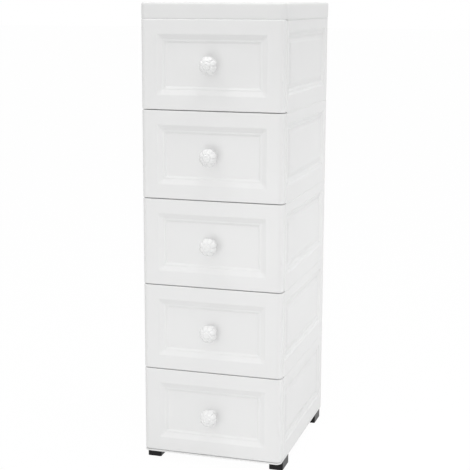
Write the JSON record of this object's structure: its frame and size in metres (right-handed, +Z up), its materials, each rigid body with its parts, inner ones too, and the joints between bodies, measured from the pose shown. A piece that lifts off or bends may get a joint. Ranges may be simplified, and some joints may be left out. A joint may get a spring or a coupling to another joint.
{
  "type": "plastic drawer tower",
  "caption": "Tall white plastic drawer tower with moulded frames, flower knobs, full-width sliding drawers and black feet.",
  "frame": {"origin": "centre of the bottom of the whole tower's box, on the floor, midway between the knobs' tips and the back", "axes": "+Z up along the tower; the drawers open towards -Y; +X to the right of someone facing the drawers"},
  "size_m": [0.302, 0.426, 0.9625],
  "materials": {
    "cabinet_plastic": "satin moulded white",
    "cover_plastic": "satin moulded white",
    "front_plastic": "glossy moulded white",
    "box_plastic": "satin moulded white",
    "knob_plastic": "glossy moulded white",
    "foot_plastic": "matte moulded black",
    "screw_steel": "zinc plated"
  },
  "bodies": {
    "cabinet": {"top_cover": "cover_plastic", "base_panel": "cabinet_plastic", "foot_front_left": "foot_plastic", "foot_front_right": "foot_plastic", "foot_rear_left": "foot_plastic", "foot_rear_right": "foot_plastic", "shelf_1": "cabinet_plastic", "shelf_2": "cabinet_plastic", "shelf_3": "cabinet_plastic", "shelf_4": "cabinet_plastic", "side_panel_left_1": "cabinet_plastic", "side_panel_left_2": "cabinet_plastic", "side_panel_left_3": "cabinet_plastic", "side_panel_left_4": "cabinet_plastic", "side_panel_left_5": "cabinet_plastic", "side_panel_right_1": "cabinet_plastic", "side_panel_right_2": "cabinet_plastic", "side_panel_right_3": "cabinet_plastic", "side_panel_right_4": "cabinet_plastic", "side_panel_right_5": "cabinet_plastic", "back_panel_1": "cabinet_plastic", "back_panel_2": "cabinet_plastic", "back_panel_3": "cabinet_plastic", "back_panel_4": "cabinet_plastic", "back_panel_5": "cabinet_plastic"},
    "drawer_1": {"drawer_front_1": "front_plastic", "drawer_box_1": "box_plastic", "knob_1": "knob_plastic", "knob_screw_1": "screw_steel"},
    "drawer_2": {"drawer_front_2": "front_plastic", "drawer_box_2": "box_plastic", "knob_2": "knob_plastic", "knob_screw_2": "screw_steel"},
    "drawer_3": {"drawer_front_3": "front_plastic", "drawer_box_3": "box_plastic", "knob_3": "knob_plastic", "knob_screw_3": "screw_steel"},
    "drawer_4": {"drawer_front_4": "front_plastic", "drawer_box_4": "box_plastic", "knob_4": "knob_plastic", "knob_screw_4": "screw_steel"},
    "drawer_5": {"drawer_front_5": "front_plastic", "drawer_box_5": "box_plastic", "knob_5": "knob_plastic", "knob_screw_5": "screw_steel"}
  },
  "joints": [
    {"name": "drawer_1_slide", "type": "slide", "parent": "cabinet", "child": "drawer_1", "axis": [0, -1, 0], "range_m": [0, 0.27]},
    {"name": "drawer_2_slide", "type": "slide", "parent": "cabinet", "child": "drawer_2", "axis": [0, -1, 0], "range_m": [0, 0.27]},
    {"name": "drawer_3_slide", "type": "slide", "parent": "cabinet", "child": "drawer_3", "axis": [0, -1, 0], "range_m": [0, 0.27]},
    {"name": "drawer_4_slide", "type": "slide", "parent": "cabinet", "child": "drawer_4", "axis": [0, -1, 0], "range_m": [0, 0.27]},
    {"name": "drawer_5_slide", "type": "slide", "parent": "cabinet", "child": "drawer_5", "axis": [0, -1, 0], "range_m": [0, 0.27]}
  ]
}
